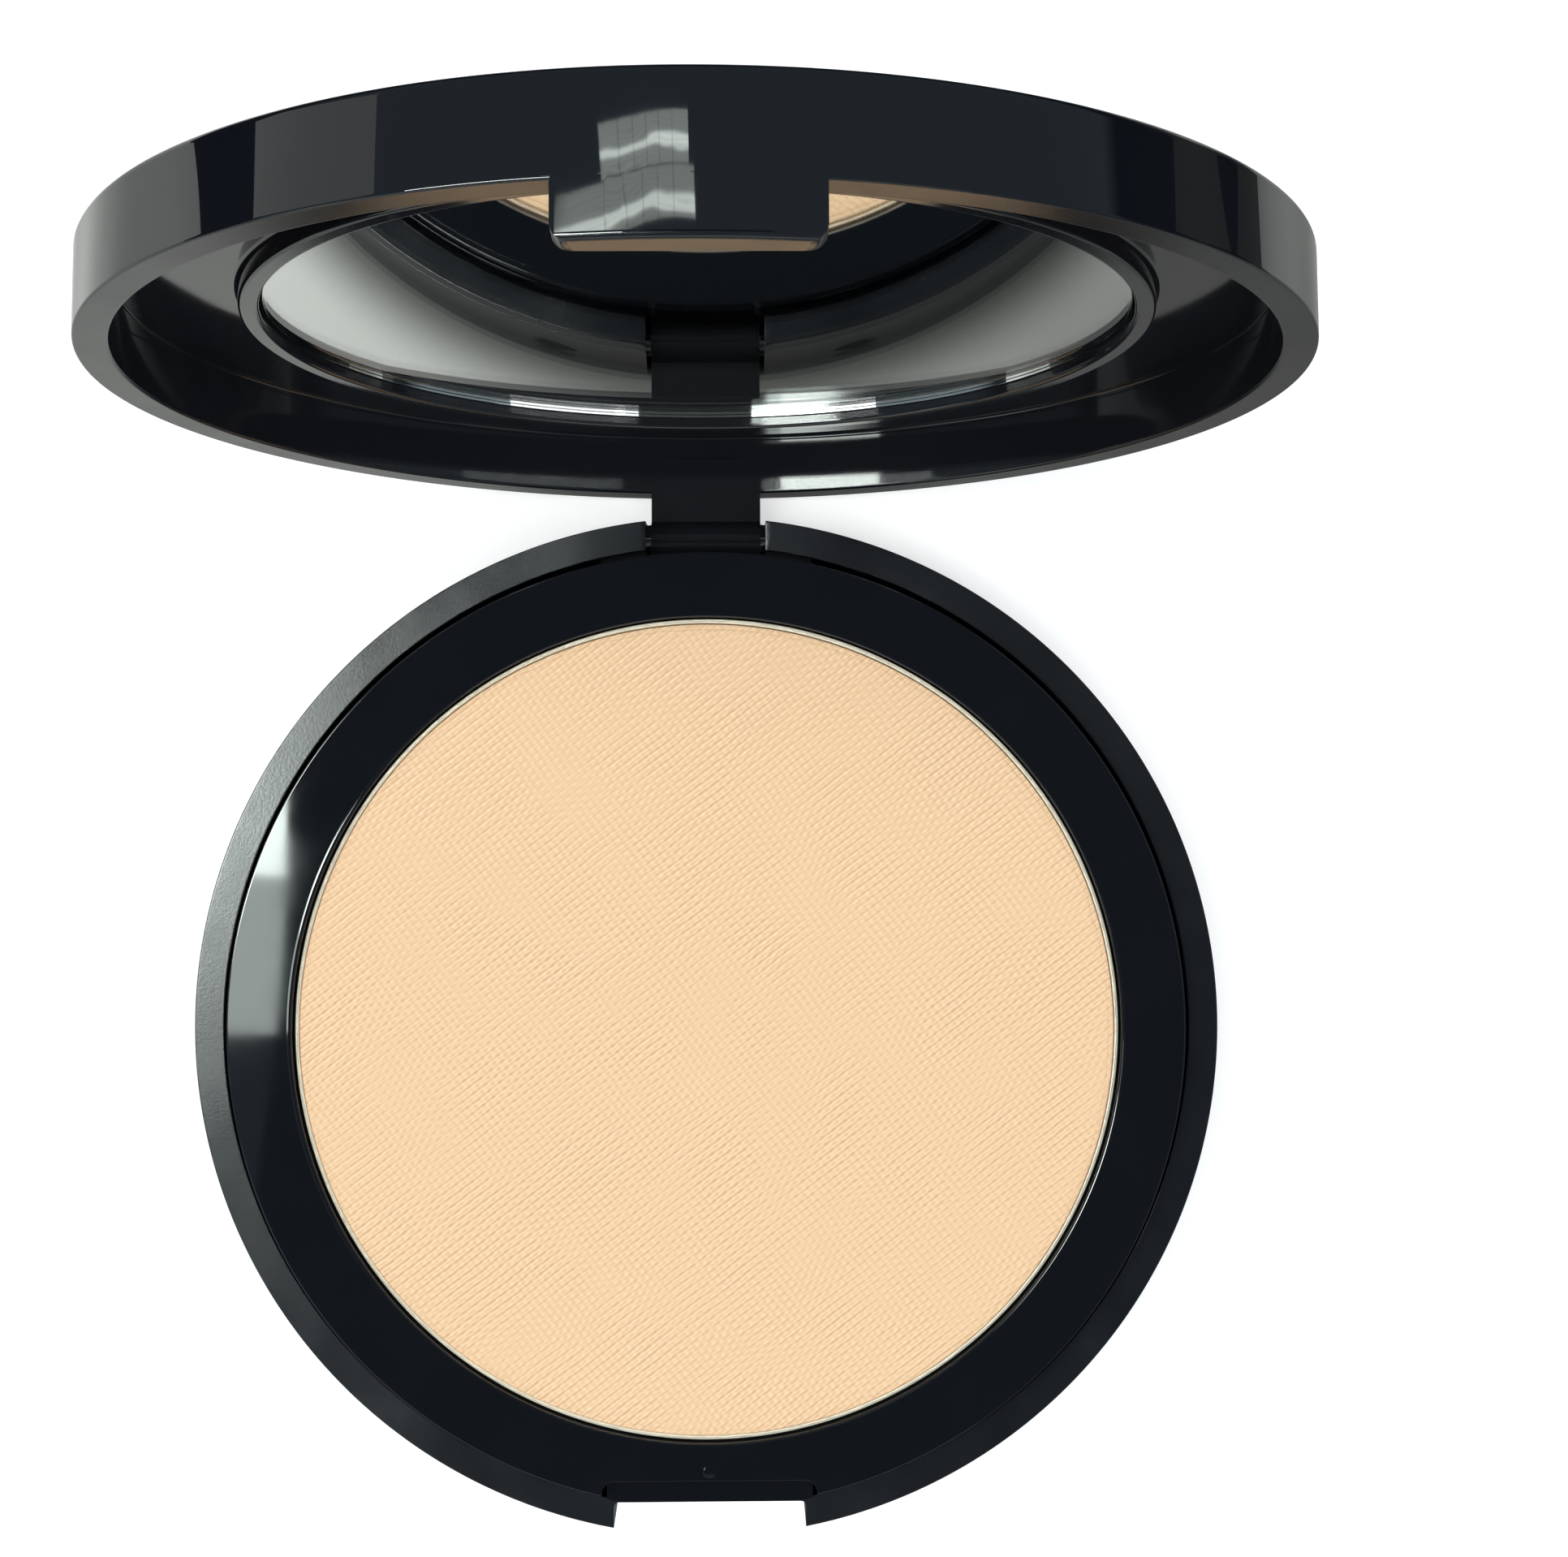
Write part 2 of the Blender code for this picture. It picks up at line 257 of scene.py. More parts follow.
def freeze(obj):
    """Replaces the object's mesh by what its modifiers make of it."""
    graph = bpy.context.evaluated_depsgraph_get()
    mesh = bpy.data.meshes.new_from_object(obj.evaluated_get(graph))
    obj.modifiers.clear()
    obj.data = mesh


def combine(obj, operation, *others):
    """Cuts, joins or intersects the object with the others, which are used up."""
    for other in others:
        boolean = obj.modifiers.new(other.name, "BOOLEAN")
        boolean.operation = operation
        boolean.solver = "EXACT"
        boolean.object = other
    freeze(obj)
    for other in others:
        bpy.data.objects.remove(other, do_unlink=True)


def soften(obj, width, segments=3):
    """Rounds the sharp edges that cutting left, width in mm, and shades the piece smooth."""
    bevel = obj.modifiers.new("edges", "BEVEL")
    bevel.limit_method = "ANGLE"
    bevel.angle_limit = radians(BEVEL_DEGREES)
    bevel.width = width * MM
    bevel.segments = segments
    bevel.use_clamp_overlap = True
    freeze(obj)
    obj.data.shade_smooth()
    obj.data.set_sharp_from_angle(angle=radians(SHARP_DEGREES))
    weighted = obj.modifiers.new("normals", "WEIGHTED_NORMAL")
    weighted.keep_sharp = True
    weighted.weight = 80


def smooth(obj):
    obj.data.shade_smooth()
    obj.data.set_sharp_from_angle(angle=radians(SHARP_DEGREES))
    return obj


def dress(obj, body, nodes, materials):
    """Gives a piece its materials and body, in place of its CAD nodes."""
    for finish in materials:
        obj.data.materials.append(finish)
    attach(obj, body)
    if nodes:
        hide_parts(*nodes)


# ------------------------------------------------------------------- materials


SPAN_INPUTS = ("From Min", "From Max", "To Min", "To Max")


class Nodes:
    """Short calls for a material's node tree."""

    def __init__(self, name):
        self.material = bpy.data.materials.new(name)
        self.material.use_nodes = True
        self.tree = self.material.node_tree
        self.shader = self.tree.nodes["Principled BSDF"]

    def add(self, kind, **settings):
        node = self.tree.nodes.new(kind)
        for key, value in settings.items():
            setattr(node, key, value)
        return node

    def link(self, out, into):
        self.tree.links.new(out, into)

    def place(self):
        return self.add("ShaderNodeTexCoord").outputs["Object"]

    def noise(self, where, scale, detail=2.0, roughness=0.5, distortion=0.0):
        node = self.add("ShaderNodeTexNoise")
        self.link(where, node.inputs["Vector"])
        node.inputs["Scale"].default_value = scale
        node.inputs["Detail"].default_value = detail
        node.inputs["Roughness"].default_value = roughness
        node.inputs["Distortion"].default_value = distortion
        return node.outputs["Fac"]

    def span(self, value, low, high, to_low, to_high, smooth_step=False):
        """Maps low..high on to to_low..to_high, clamped."""
        node = self.add("ShaderNodeMapRange", clamp=True)
        if smooth_step:
            node.interpolation_type = "SMOOTHSTEP"
        self.link(value, node.inputs["Value"])
        for key, number in zip(SPAN_INPUTS, (low, high, to_low, to_high)):
            node.inputs[key].default_value = number
        return node.outputs["Result"]

    def math(self, operation, a, b=None):
        node = self.add("ShaderNodeMath", operation=operation)
        for socket, value in zip(node.inputs, (a, b)):
            if value is None:
                continue
            if isinstance(value, (int, float)):
                socket.default_value = value
            else:
                self.link(value, socket)
        return node.outputs[0]

    def mix(self, share, a, b):
        """A colour between a and b, each a socket or an (r, g, b)."""
        node = self.add("ShaderNodeMix", data_type="RGBA")
        colours = [s for s in node.inputs if s.type == "RGBA"]
        self.link(share, node.inputs["Factor"])
        for socket, value in zip(colours, (a, b)):
            if isinstance(value, tuple):
                socket.default_value = (*value, 1.0)
            else:
                self.link(value, socket)
        return [s for s in node.outputs if s.type == "RGBA"][0]

    def bump(self, height, distance, strength=1.0, before=None):
        node = self.add("ShaderNodeBump")
        self.link(height, node.inputs["Height"])
        node.inputs["Distance"].default_value = distance
        node.inputs["Strength"].default_value = strength
        if before is not None:
            self.link(before, node.inputs["Normal"])
        return node.outputs["Normal"]

    def set(self, **values):
        for key, value in values.items():
            socket = self.shader.inputs[key.replace("_", " ")]
            if isinstance(value, tuple):
                socket.default_value = (*value, 1.0)
            elif isinstance(value, (int, float)):
                socket.default_value = value
            else:
                self.link(value, socket)


BLACK_LOW = (0.0022, 0.0030, 0.0050)
BLACK_HIGH = (0.0034, 0.0044, 0.0070)
GRAIN_SCALE = 6000.0
RIPPLE_STRETCH = (1.0, 0.12, 1.0)


def black_plastic(name, roughness, ripple=0.0, ripple_scale=110.0, grain=0.0, lift=0.0):
    """Near-black plastic with a navy tint. Ripple and grain are heights in metres.

    The ripple runs along the open lid's depth, as sink marks do, so it changes slowly along Y.
    Lift is added to the colour.
    """
    n = Nodes(name)
    where = n.place()
    cloud = n.noise(where, 160.0, 3.0)
    low, high = (tuple(c + lift for c in tone) for tone in (BLACK_LOW, BLACK_HIGH))
    height = None
    if ripple:
        stretch = n.add("ShaderNodeVectorMath", operation="MULTIPLY")
        n.link(where, stretch.inputs[0])
        stretch.inputs[1].default_value = RIPPLE_STRETCH
        height = n.bump(n.noise(stretch.outputs["Vector"], ripple_scale, 0.0), ripple)
    if grain:
        height = n.bump(n.noise(where, GRAIN_SCALE, 1.0), grain, 1.0, height)
    n.set(
        Base_Color=n.mix(cloud, low, high),
        Roughness=n.span(cloud, 0.3, 0.7, *roughness),
        Normal=height,
        IOR=1.5,
    )
    return n.material


# Line angle in degrees, pitch in mm and weight of each set of ridges in the stamped cloth.
WEAVE = (
    (37.0, 0.277, 1.25),
    (37.0, 0.555, 0.85),
    (66.0, 0.483, 0.50),
    (8.0, 0.488, 0.35),
    (127.0, 0.497, 0.50),
)


def powder():
    """Pressed powder with the weave of the cloth that it was stamped through, and painted light and
    shade of that weave in its colour.
    """
    n = Nodes("pressed_powder")
    where = n.place()
    wander = n.math("MULTIPLY", n.noise(where, 260.0, 2.0), 5.0)
    weave = None
    for degrees, pitch, weight in WEAVE:
        across = n.add("ShaderNodeVectorMath", operation="DOT_PRODUCT")
        n.link(where, across.inputs[0])
        turn = 2 * pi / (pitch * MM)
        angle = radians(degrees)
        across.inputs[1].default_value = (-sin(angle) * turn, cos(angle) * turn, 0)
        ridge = n.math("COSINE", n.math("ADD", across.outputs["Value"], wander))
        patch = n.span(n.noise(where, 150.0 + degrees, 2.0), 0.35, 0.65, 0.25, 1.0)
        ridge = n.math("MULTIPLY", n.math("MULTIPLY", ridge, weight), patch)
        weave = ridge if weave is None else n.math("ADD", weave, ridge)
    grain = n.noise(where, 4200.0, 3.0, 0.7)
    cloud = n.noise(where, 85.0, 4.0, 0.55)
    # Painted light and shade: the weave lightens the colour on its ridges and darkens it in its
    # pits, besides the real bump below.
    light = n.span(weave, -2.2, 2.2, 0.0, 1.0)
    colour = n.mix(light, (0.64, 0.405, 0.232), (0.96, 0.69, 0.435))
    colour = n.mix(n.span(cloud, 0.3, 0.7, 0.0, 0.12), colour, (0.80, 0.52, 0.30))
    colour = n.mix(n.span(grain, 0.62, 0.8, 0.0, 0.30), colour, (0.99, 0.84, 0.62))
    height = n.bump(weave, 0.000006)
    height = n.bump(grain, 0.00002, 0.6, height)
    n.set(Base_Color=colour, Roughness=0.92, Normal=height, Specular_IOR_Level=0.2)
    return n.material


def pan_metal():
    """Drawn aluminium with a film of powder on it."""
    n = Nodes("pan_metal")
    where = n.place()
    streak = n.noise(where, 900.0, 3.0, 0.6)
    n.set(
        Base_Color=n.mix(streak, (0.80, 0.72, 0.56), (0.88, 0.82, 0.68)),
        Metallic=0.25,
        Roughness=n.span(streak, 0.3, 0.7, 0.35, 0.55),
        Normal=n.bump(streak, 0.00001),
    )
    return n.material


def mirror_glass():
    n = Nodes("mirror_glass")
    smear = n.noise(n.place(), 70.0, 4.0, 0.6, 0.6)
    n.set(
        Base_Color=n.mix(smear, (0.975, 0.99, 0.98), (0.985, 0.995, 0.99)),
        Roughness=n.span(smear, 0.55, 0.8, 0.0, 0.03),
        IOR=1.5,
        Transmission_Weight=1.0,
    )
    return n.material


def mirror_silver():
    n = Nodes("mirror_silver")
    cloud = n.noise(n.place(), 40.0, 2.0)
    n.set(
        Base_Color=n.mix(cloud, (0.92, 0.94, 0.93), (0.94, 0.96, 0.95)),
        Metallic=1.0,
        Roughness=n.span(cloud, 0.3, 0.7, 0.004, 0.010),
    )
    return n.material


def steel():
    n = Nodes("pin_steel")
    where = n.place()
    turn_marks = n.noise(where, 4000.0, 2.0)
    n.set(
        Base_Color=n.mix(turn_marks, (0.42, 0.42, 0.43), (0.62, 0.62, 0.63)),
        Metallic=1.0,
        Roughness=n.span(turn_marks, 0.3, 0.7, 0.22, 0.38),
        Normal=n.bump(turn_marks, 0.000004),
    )
    return n.material


def adhesive():
    n = Nodes("adhesive")
    cloud = n.noise(n.place(), 300.0, 3.0)
    n.set(
        Base_Color=n.mix(cloud, (0.72, 0.70, 0.62), (0.86, 0.84, 0.78)),
        Roughness=n.span(cloud, 0.3, 0.7, 0.45, 0.7),
        Normal=n.bump(cloud, 0.00004),
    )
    return n.material


GLOSS = black_plastic("gloss_black", (0.020, 0.045), ripple=0.000010)
WAVY = black_plastic("wavy_gloss_black", (0.012, 0.028), ripple=0.0009, ripple_scale=125.0)
INNER = black_plastic("semi_gloss_black", (0.05, 0.08), ripple=0.00003, lift=0.0055)
SATIN = black_plastic("satin_black", (0.19, 0.28), grain=0.0000045)
POWDER = powder()
PAN = pan_metal()
GLASS = mirror_glass()
SILVER = mirror_silver()
STEEL = steel()
GLUE = adhesive()


# ---------------------------------------------------------------------- pieces


def paint_faces(obj, index, wanted):
    """Gives a material index to the faces wanted, judged by radius, height in mm and normal."""
    for face in obj.data.polygons:
        centre = face.center / MM
        if wanted(Vector((centre.x, centre.y)).length, centre.z, face.normal):
            face.material_index = index


def both(half):
    return (-half, half)


def base_shell():
    """The cup: a flat satin ledge, gloss sides, and a flat underside with a fine mould groove."""
    profile = outline(
        (0, FLOOR_THICK),
        (WELL_RADIUS, FLOOR_THICK, 0.3),
        (WELL_RADIUS, LEDGE_Z, 0.12),
        (CASE_RADIUS, LEDGE_Z, 0.1),
        (CASE_RADIUS, 0, 1.0),
        (32.6, 0),
        (32.4, 0.18),
        (31.6, 0.18),
        (31.4, 0),
        (0, 0),
    )
    shell = turned("base_shell_skin", profile)
    root_z = FLOOR_THICK / 2
    wall = slab("latch_wall", both(LATCH_WALL_HALF), LATCH_WALL_Y, (root_z, LEDGE_Z), 0.5)
    lug_y = (HINGE_Y - 3.3, HINGE_Y + 0.6)
    lugs = slab("hinge_lugs", both(LUG_HALF), lug_y, (root_z, LUG_TOP_Z), 0.3)
    combine(shell, "UNION", wall, lugs)
    notch_y = (-AWAY, LATCH_NOTCH_Y)
    notch = slab("latch_notch", both(LATCH_NOTCH_HALF), notch_y, CUT_Z, 0.35)
    groove = slab("catch_groove", both(CATCH_HALF), CATCH_Y, CATCH_Z)
    gap_y = (HINGE_Y - KNUCKLE_RADIUS - 0.3, AWAY)
    gap = slab("hinge_notch", both(HINGE_NOTCH_HALF), gap_y, (FLOOR_THICK, CUT_Z[1]), 0.3)
    hole = rod("pin_hole", PIN_HOLE_RADIUS, both(PIN_HOLE_HALF), HINGE_Y, HINGE_Z, 40)
    combine(shell, "DIFFERENCE", notch, groove, gap, hole)
    soften(shell, 0.14)
    dress(shell, "base", ["base_shell"], [GLOSS, SATIN])

    def on_ledge(r, z, normal):
        return r > WELL_RADIUS + 0.1 and z > LEDGE_Z - 0.2 and normal.z > 0.3

    paint_faces(shell, 1, on_ledge)


def inner_frame():
    """The tray: a flat gloss bezel whose inner lip stands up a hair, and the well below it."""
    well = PAN_RADIUS + 0.12
    well_floor_z = PAN_LOW.z - 0.5
    top = TRAY_TOP_Z - 0.012
    profile = outline(
        (0, well_floor_z),
        (well, well_floor_z, 0.3),
        (well, TRAY_TOP_Z, 0.2),
        (well + 0.26, TRAY_TOP_Z),
        (well + 0.37, top),
        (TRAY_RADIUS, top, 0.1),
        (TRAY_RADIUS, TRAY_SKIRT_Z),
        (TRAY_WALL_RADIUS, TRAY_SKIRT_Z),
        (TRAY_WALL_RADIUS, TRAY_FOOT_Z),
        (0, TRAY_FOOT_Z),
    )
    tray = turned("inner_frame_skin", profile)
    pocket = slab("front_cut", both(TRAY_POCKET_HALF), (-AWAY, TRAY_POCKET_Y), CUT_Z, 0.9)
    combine(tray, "DIFFERENCE", pocket)
    nub = slab("nub", both(0.45), (-32.0, -31.3), (TRAY_TOP_Z - 1, TRAY_TOP_Z + 0.05), 0.3)
    combine(tray, "UNION", nub)
    soften(tray, 0.13)
    dress(tray, "base", ["inner_frame"], [GLOSS])


def powder_pan():
    wall = 0.33
    bottom = PAN_LOW.z
    rim_z = PAN_HIGH.z
    profile = outline(
        (0, bottom + wall),
        (PAN_RADIUS - wall, bottom + wall, 0.87),
        (PAN_RADIUS - wall, rim_z, 0.14),
        (PAN_RADIUS, rim_z, 0.14),
        (PAN_RADIUS, bottom, 1.2),
        (0, bottom),
    )
    pan = smooth(turned("powder_pan_skin", profile))
    dress(pan, "base", ["powder_pan"], [PAN])


def pressed_powder():
    """The cake: a broken edge, a crack just inside its rim, a pit and soft dents."""
    top = POWDER_HIGH.z
    radius = POWDER_HIGH.x + 0.12
    crack_radius = radius - 0.3
    bottom = POWDER_LOW.z
    rings = 120  # over the flat top, the last two of them left to the crack
    profile = [(radius * i / rings, top) for i in range(rings - 2)]
    profile += outline(
        (crack_radius - 0.14, top),
        (crack_radius - 0.08, top - 0.02),
        (crack_radius, top - 0.07),
        (crack_radius + 0.07, top - 0.05),
        (radius, top - 0.12, 0.1),
        (radius, bottom, 1.0),
        (0, bottom),
    )
    cake = turned("pressed_powder_skin", profile, segments=480)
    rough = ((9.0, 0.030), (2.2, 0.016), (0.55, 0.010))  # (size, depth) of the unevenness
    pit_spot = Vector((20.6, -13.2))
    pit_radius = 0.5
    pit_depth = 0.12
    for vert in cake.data.vertices:
        spot = vert.co / MM
        if spot.z < top - 0.6:
            continue
        flat = Vector((spot.x, spot.y))
        reach = flat.length
        lift = sum(noise.noise(spot / size) * depth for size, depth in rough)
        if reach > crack_radius - 0.5:
            ragged = noise.noise(spot / 0.9) * 0.08 + noise.noise(spot / 0.3) * 0.05
            shift = 1 + ragged * min(1.0, max(0.0, radius - reach) / 0.2) / reach
            vert.co.x *= shift
            vert.co.y *= shift
            lift += noise.noise(spot / 0.45 + Vector((9, 9, 9))) * 0.04
        pit = (flat - pit_spot).length
        if pit < pit_radius:
            lift -= pit_depth * (1 - pit / pit_radius)
        vert.co.z = min(vert.co.z + lift * MM, (top + 0.05) * MM)
    smooth(cake)
    dress(cake, "base", ["pressed_powder"], [POWDER])


def hinge_pin():
    pin = rod("hinge_pin_skin", PIN_RADIUS, (PIN_LOW.x, PIN_HIGH.x), HINGE_Y, HINGE_Z, 48)
    soften(pin, 0.12, 2)
    dress(pin, "base", ["hinge_pin"], [STEEL])


def lid_shell():
    """The lid: skirt, round-edged panel, inner floor, and the bead that stands round the mirror."""
    floor_z = LID_RIM_Z + 4.15
    crest_z = LID_RIM_Z + 2.8
    bead_inner = MIRROR_HIGH.x + 0.12
    pocket_z = MIRROR_HIGH.z + 0.25
    profile = outline(
        (0, LID_TOP_Z),
        (CASE_RADIUS, LID_TOP_Z, 0.4),
        (CASE_RADIUS, LID_RIM_Z, 0.15),
        (LID_INNER_RADIUS, LID_RIM_Z, 0.2),
        (LID_INNER_RADIUS, floor_z, 0.18),
        (LID_INNER_RADIUS - 0.9, floor_z),
        (LID_INNER_RADIUS - 0.95, floor_z - 0.05),
        (BEAD_RADIUS, floor_z, 0.3),
        (BEAD_RADIUS, crest_z, 0.25),
        (bead_inner, crest_z, 0.25),
        (bead_inner, pocket_z, 0.1),
        (0, pocket_z),
    )
    lid = turned("lid_shell_skin", profile)

    hidden_r = LID_INNER_RADIUS - 1.5
    root_z = LID_RIM_Z + 2.0
    tab_ring = outline(
        (CASE_RADIUS, root_z),
        (CASE_RADIUS, TAB_END_Z, 0.35),
        (hidden_r, TAB_END_Z),
        (hidden_r, root_z),
    )
    tab = turned("tab", tab_ring, ring=True)
    tab_z = (TAB_END_Z, LID_RIM_Z + 0.8)
    keep = slab("tab_block", both(TAB_HALF), (-AWAY, TAB_FACE_Y), tab_z, 0.9, 1)
    combine(tab, "INTERSECT", keep)
    catch = rod("snap_bead", SNAP_RADIUS, both(SNAP_HALF), SNAP_Y, TAB_END_Z + 0.5, 32)
    arm = slab("hinge_arm", both(ARM_HALF), ARM_Y, (HINGE_Z, ARM_TOP_Z))
    knuckle = rod("knuckle", KNUCKLE_RADIUS, both(ARM_HALF), HINGE_Y, HINGE_Z)
    combine(lid, "UNION", tab, catch, arm, knuckle)
    bore = rod("bore", PIN_HOLE_RADIUS, both(ARM_HALF + 2.05), HINGE_Y, HINGE_Z, 40)
    combine(lid, "DIFFERENCE", bore)
    soften(lid, 0.16)
    dress(lid, "lid", ["lid_shell"], [WAVY, INNER, SATIN, GLOSS])

    def inside(r, z, normal):
        return r < LID_INNER_RADIUS + 0.05 and z < pocket_z + 0.1

    def on_rim(r, z, normal):
        return LID_INNER_RADIUS - 0.05 < r < CASE_RADIUS - 0.02 and z < LID_RIM_Z + 0.2

    def on_panel(r, z, normal):
        return normal.z > 0.9 and z > LID_TOP_Z - 0.1

    for index, wanted in enumerate((inside, on_rim, on_panel), start=1):
        paint_faces(lid, index, wanted)
    lid.data.transform(about_hinge(OPEN_DEGREES))


def mirror():
    """A silver film behind a slab of glass, which doubles what the film reflects."""
    face = MIRROR_LOW.z
    back = MIRROR_HIGH.z
    radius = MIRROR_HIGH.x
    slab_profile = outline((0, back), (radius, back, 0.05), (radius, face, 0.1), (0, face))
    glass = smooth(turned("mirror_glass", slab_profile))
    glass.data.transform(about_hinge(OPEN_DEGREES))
    dress(glass, "lid", ["mirror"], [GLASS])
    film_radius = radius - 0.1
    front = back + 0.02
    rear = back + 0.06
    film_profile = outline((0, rear), (film_radius, rear), (film_radius, front), (0, front))
    film = smooth(turned("mirror_silver", film_profile))
    film.data.transform(about_hinge(OPEN_DEGREES))
    dress(film, "lid", [], [SILVER])


def glue_disc(name, node, body, opened):
    """A squeezed-out disc of glue in place of its CAD node, its edge round and a little ragged."""
    low, high = closed_box(node) if opened else rest_box(node)
    radius = high.x
    edge = (high.z - low.z) / 2
    angles = [radians(90 - 180 * i / 8) for i in range(9)]
    profile = [(radius - edge + edge * cos(a), high.z - edge + edge * sin(a)) for a in angles]
    disc = smooth(turned(name, [(0, high.z)] + profile + [(0, low.z)], segments=96))
    for vert in disc.data.vertices:
        spot = vert.co / MM
        flat = Vector((spot.x, spot.y, 0))
        wander = 1 - 0.03 * (1 + noise.noise(flat / 6.0)) * flat.length / radius
        vert.co.x *= wander
        vert.co.y *= wander
    if opened:
        disc.data.transform(about_hinge(OPEN_DEGREES))
    dress(disc, body, [node], [GLUE])


base_shell()
inner_frame()
powder_pan()
pressed_powder()
hinge_pin()
lid_shell()
mirror()
glue_disc("pan_adhesive_skin", "pan_adhesive", "base", False)
glue_disc("mirror_adhesive_skin", "mirror_adhesive", "lid", True)


# ----------------------------------------------------------------------- stage


def glow(name, strength, colour):
    """An emitting material. Strength is a number or a function that builds a socket for it."""
    n = Nodes(name)
    n.set(Base_Color=(0.0, 0.0, 0.0), Emission_Color=colour, Roughness=1.0, Specular_IOR_Level=0.0)
    n.set(Emission_Strength=strength(n) if callable(strength) else strength)
    return n.material


def panes(level, band_at, band_width):
    """The brightness of a louvred ceiling light: a ruled grid with one bright wavy band."""

    def strength(n):
        split = n.add("ShaderNodeSeparateXYZ")
        place = n.add("ShaderNodeTexCoord").outputs["Generated"]
        n.link(place, split.inputs["Vector"])
        along, up = split.outputs["X"], split.outputs["Y"]
        up = n.math("ADD", up, n.span(n.noise(place, 2.3, 1.0), 0.3, 0.7, -0.10, 0.10))
        bars = n.span(n.math("FRACT", n.math("MULTIPLY", along, 6.0)), 0.0, 0.10, 0.6, 1.0)
        slats = n.span(n.math("SINE", n.math("MULTIPLY", up, 70.0)), -1.0, 1.0, 0.75, 1.0)
        off_band = n.math("ABSOLUTE", n.math("SUBTRACT", up, band_at))
        band = n.span(off_band, band_width * 0.4, band_width * 0.6, 2.6, 0.8, True)
        return n.math("MULTIPLY", n.math("MULTIPLY", n.math("MULTIPLY", bars, slats), band), level)

    return strength


def card(name, corners, material):
    """A reflected panel, seen only in glossy surfaces. Corners are in mm, going round."""
    mesh = bpy.data.meshes.new(name)
    mesh.from_pydata([Vector(c) * MM for c in corners], [], [tuple(range(len(corners)))])
    panel = add_object(name, mesh)
    mesh.materials.append(material)
    panel.visible_camera = False
    panel.visible_diffuse = False
    panel.visible_shadow = False
    return panel


def flat_card(name, x, y, z, material):
    """A level panel between pairs of limits."""
    corners = [(x[0], y[0], z), (x[1], y[0], z), (x[1], y[1], z), (x[0], y[1], z)]
    return card(name, corners, material)


def wall_card(name, distance, azimuths, elevations, material, steps=8):
    """A panel curved round the object. Azimuths are degrees from +Y towards +X."""
    panels = []
    for i in range(steps):
        pair = [azimuths[0] + (azimuths[1] - azimuths[0]) * (i + k) / steps for k in (0, 1)]
        corners = [
            (
                distance * cos(radians(e)) * sin(radians(a)),
                distance * cos(radians(e)) * cos(radians(a)),
                distance * sin(radians(e)),
            )
            for a, e in (
                (pair[0], elevations[0]),
                (pair[1], elevations[0]),
                (pair[1], elevations[1]),
                (pair[0], elevations[1]),
            )
        ]
        panels.append(card(f"{name}_{i}", corners, material))
    return panels


def soft_light(name, place, size, power):
    """A soft area light aimed at the object, which doesn't show in glossy surfaces."""
    data = bpy.data.lights.new(name, "AREA")
    data.shape = "DISK"
    data.size = size
    data.energy = power
    lamp = bpy.data.objects.new(name, data)
    bpy.context.scene.collection.objects.link(lamp)
    lamp.location = place
    towards = Vector((0, 0.01, 0.01)) - Vector(place)
    lamp.rotation_euler = towards.to_track_quat("-Z", "Y").to_euler()
    lamp.visible_glossy = False
    lamp.visible_camera = False


def floor():
    """The pale floor, and the sheets just under it that only the glossy surfaces see, which carry
    painted light and shade.
    """
    n = Nodes("pale_floor")
    cloud = n.noise(n.place(), 3.0, 2.0)
    n.set(
        Base_Color=n.mix(cloud, (0.62, 0.62, 0.62), (0.64, 0.64, 0.64)),
        Roughness=0.8,
        Emission_Color=(1.0, 1.0, 1.0),
        Emission_Strength=0.55,
    )
    plane = flat_card("floor", (-3000, 3000), (-3000, 3000), 0, n.material)
    plane.visible_camera = True
    plane.visible_diffuse = True
    plane.visible_shadow = True
    plane.visible_glossy = False
    plane.visible_transmission = False

    def brightness(n):
        split = n.add("ShaderNodeSeparateXYZ")
        n.link(n.place(), split.inputs["Vector"])
        length = n.add("ShaderNodeVectorMath", operation="LENGTH")
        n.link(n.place(), length.inputs[0])
        # Painted light and shade on the sheet: lighter to the left, a painted contact shadow close
        # round the base, brighter far from it.
        side = n.span(split.outputs["X"], -0.034, 0.026, 0.70, 0.28)
        painted_contact_shadow = n.span(length.outputs["Value"], 0.036, 0.042, 0.15, 1.0, True)
        far = n.span(length.outputs["Value"], 0.06, 0.12, 0.0, 0.36, True)
        return n.math("ADD", n.math("MULTIPLY", side, painted_contact_shadow), far)

    wall = glow("backdrop", 0.95, (1.0, 1.0, 1.0))
    for panel in wall_card("backdrop", 2900, (-180, 180), (-2.0, 60.0), wall, 24):
        panel.visible_camera = True
        panel.visible_glossy = False
        panel.visible_transmission = False

    sheet = glow("painted_shade_sheet", brightness, (0.97, 1.0, 0.96))
    flat_card("floor_in_gloss", (-290, 125), (-200, 120), -0.1, sheet)
    # A dim sheet to the right: painted shade on the floor that the glossy surfaces see.
    dim = glow("painted_shade_right_sheet", 0.13, (0.97, 1.0, 0.96))
    flat_card("floor_in_gloss_right", (125, 260), (-200, 160), -0.1, dim)


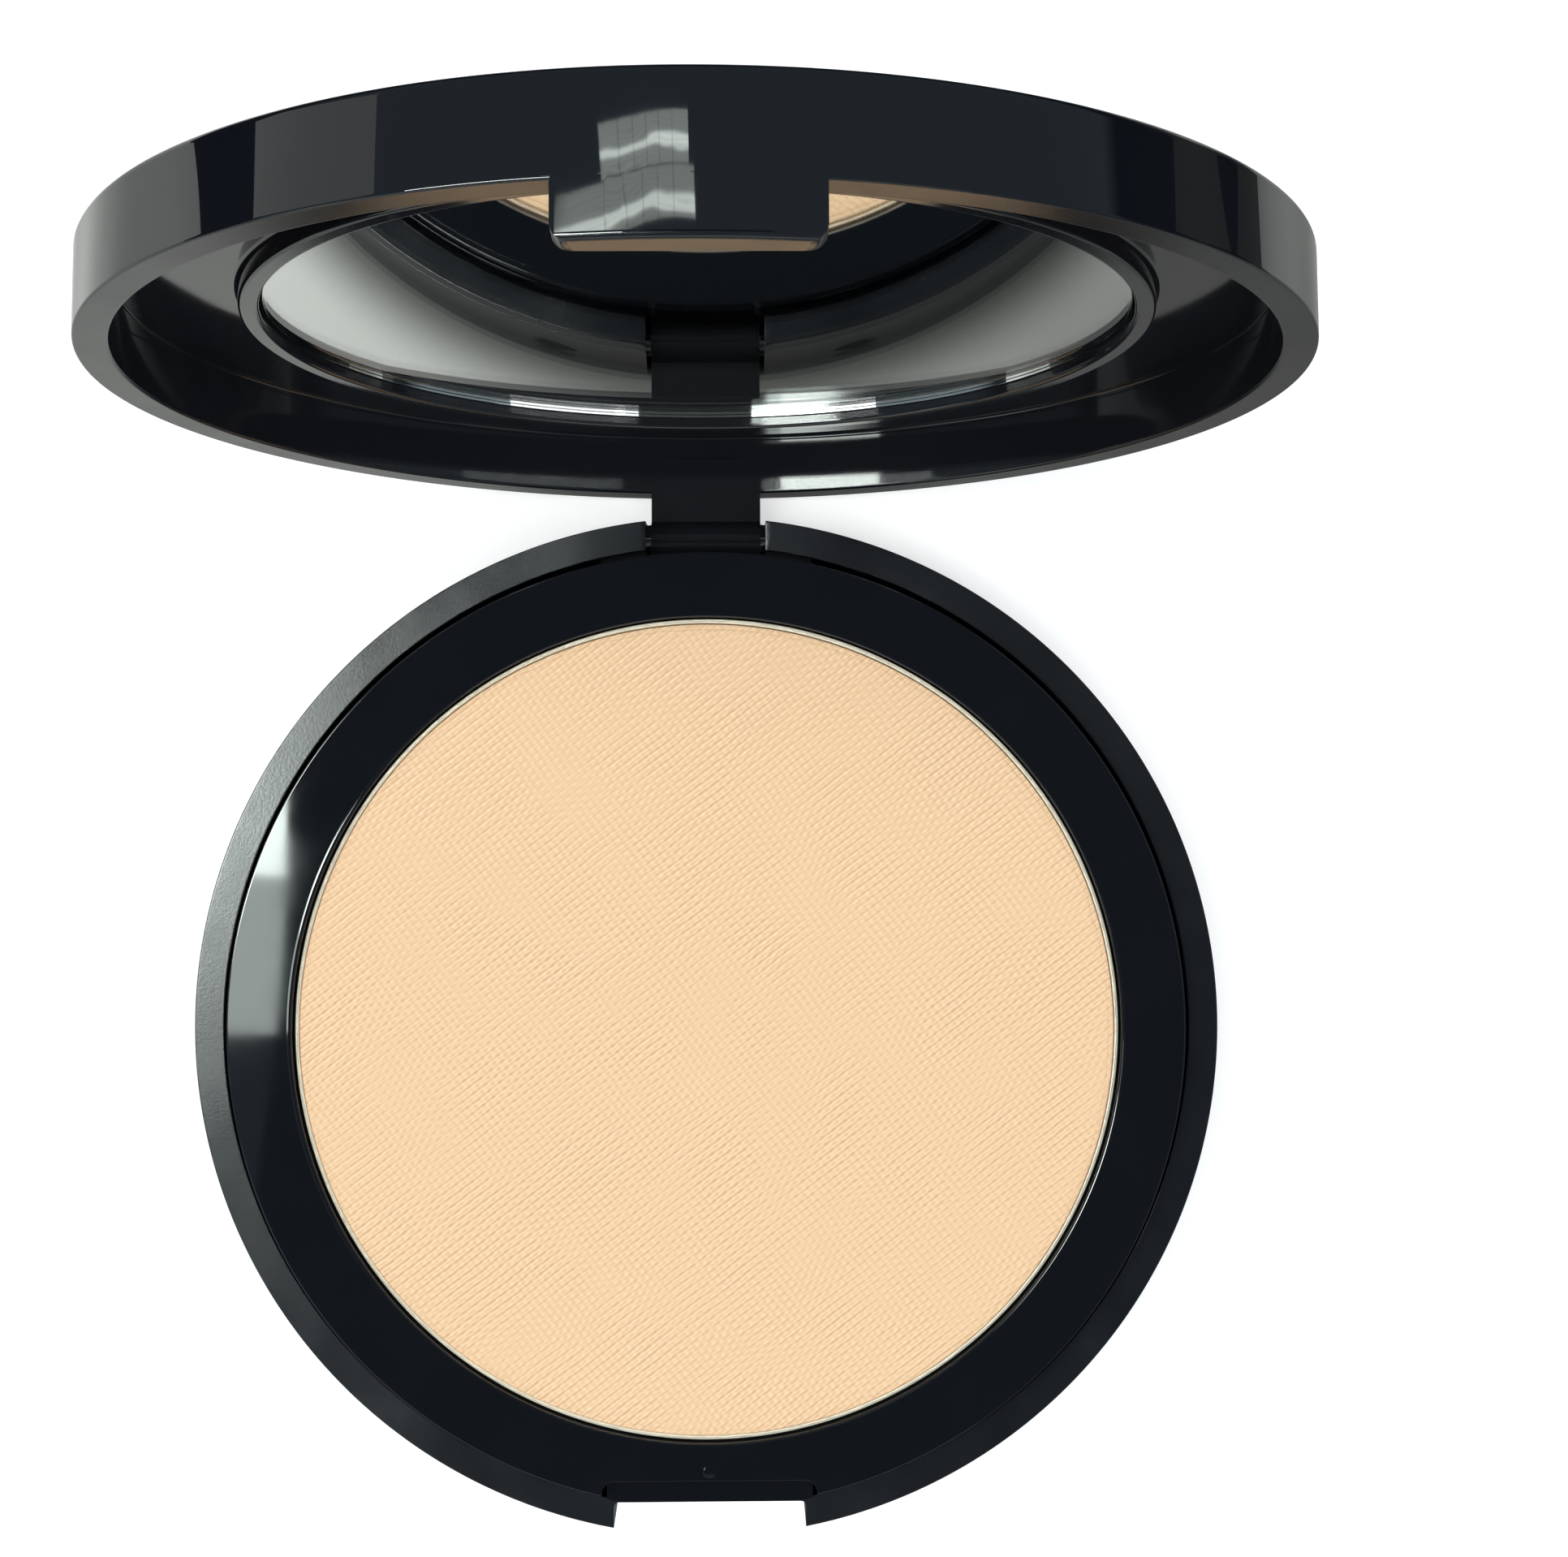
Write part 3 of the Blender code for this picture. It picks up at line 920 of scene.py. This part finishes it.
def lights():
    world = bpy.data.worlds.new("studio")
    bpy.context.scene.world = world
    world.use_nodes = True
    tree = world.node_tree
    background = tree.nodes["Background"]
    background.inputs["Color"].default_value = (0.76, 0.92, 1.0, 1.0)
    place = tree.nodes.new("ShaderNodeTexCoord")
    split = tree.nodes.new("ShaderNodeSeparateXYZ")
    height = tree.nodes.new("ShaderNodeMapRange")
    tree.links.new(place.outputs["Generated"], split.inputs["Vector"])
    tree.links.new(split.outputs["Z"], height.inputs["Value"])
    for key, number in zip(SPAN_INPUTS, (0.0, 0.12, 0.04, 0.34)):  # dim below the horizon
        height.inputs[key].default_value = number
    tree.links.new(height.outputs["Result"], background.inputs["Strength"])
    soft_light("key", (-0.45, 0.10, 0.75), 0.7, 4.2)
    soft_light("fill", (0.5, -0.35, 0.7), 0.8, 3.0)
    soft_light("top", (0.0, 0.0, 1.0), 0.9, 3.2)

    # Each card is listed by its corners, with its height in mm.
    leaning = (
        ("overhead_flag", 401, 0.10, ((-110.6, -190), (120, -190), (120, 188), (-75.6, 188))),
        ("left_window", 400, 8.0, ((-170, -48), (-97.5, -48), (-92.5, 6), (-170, 6))),
        ("left_window_sky", 399, 26.0, ((-150, -14), (-94.4, -14), (-92.7, 4), (-150, 4))),
    )
    for name, height, strength, corners in leaning:
        light = glow(name, strength, (0.88, 1.0, 0.95))
        card(name, [(x, y, height) for x, y in corners], light)
    haze = glow("left_haze", 41.0, (0.92, 1.0, 0.95))
    flat_card("left_haze", (-300, -114), (-18, 66), 398, haze)
    patch = glow("side_patch", 0.95, (0.98, 1.0, 0.97))
    wall_card("side_patch", 900, (-71.5, -54.0), (2.0, 34.0), patch)
    front = glow("front_wall", 2.0, (0.92, 1.0, 0.98))
    wall_card("front_wall", 900, (150, 250), (8.0, 24.0), front)
    far_pane = glow("ceiling_pane_far", panes(6.0, 0.42, 0.22), (0.90, 1.0, 0.94))
    flat_card("ceiling_pane_far", (-850, -60), (1053.5, 1117.5), 2000, far_pane)
    near_pane = glow("ceiling_pane_near", panes(5.5, 0.30, 0.30), (0.90, 1.0, 0.94))
    flat_card("ceiling_pane_near", (-1000, -30), (986.5, 1051.5), 2000, near_pane)


def camera():
    """Stands almost over the hinge side and looks nearly straight down."""
    data = bpy.data.cameras.new("camera")
    data.sensor_width = 36.0
    data.lens = 63.68
    cam = bpy.data.objects.new("camera", data)
    bpy.context.scene.collection.objects.link(cam)
    cam.location = (0.002139, 0.024258, LEDGE_Z * MM + 0.199048)
    cam.rotation_mode = "ZYX"
    cam.rotation_euler = Euler((radians(-1.78), radians(-0.982), radians(-0.24)), "ZYX")
    data.clip_start = 0.01
    data.clip_end = 20.0
    bpy.context.scene.camera = cam


floor()
lights()
camera()
bpy.context.scene.view_settings.view_transform = "Standard"
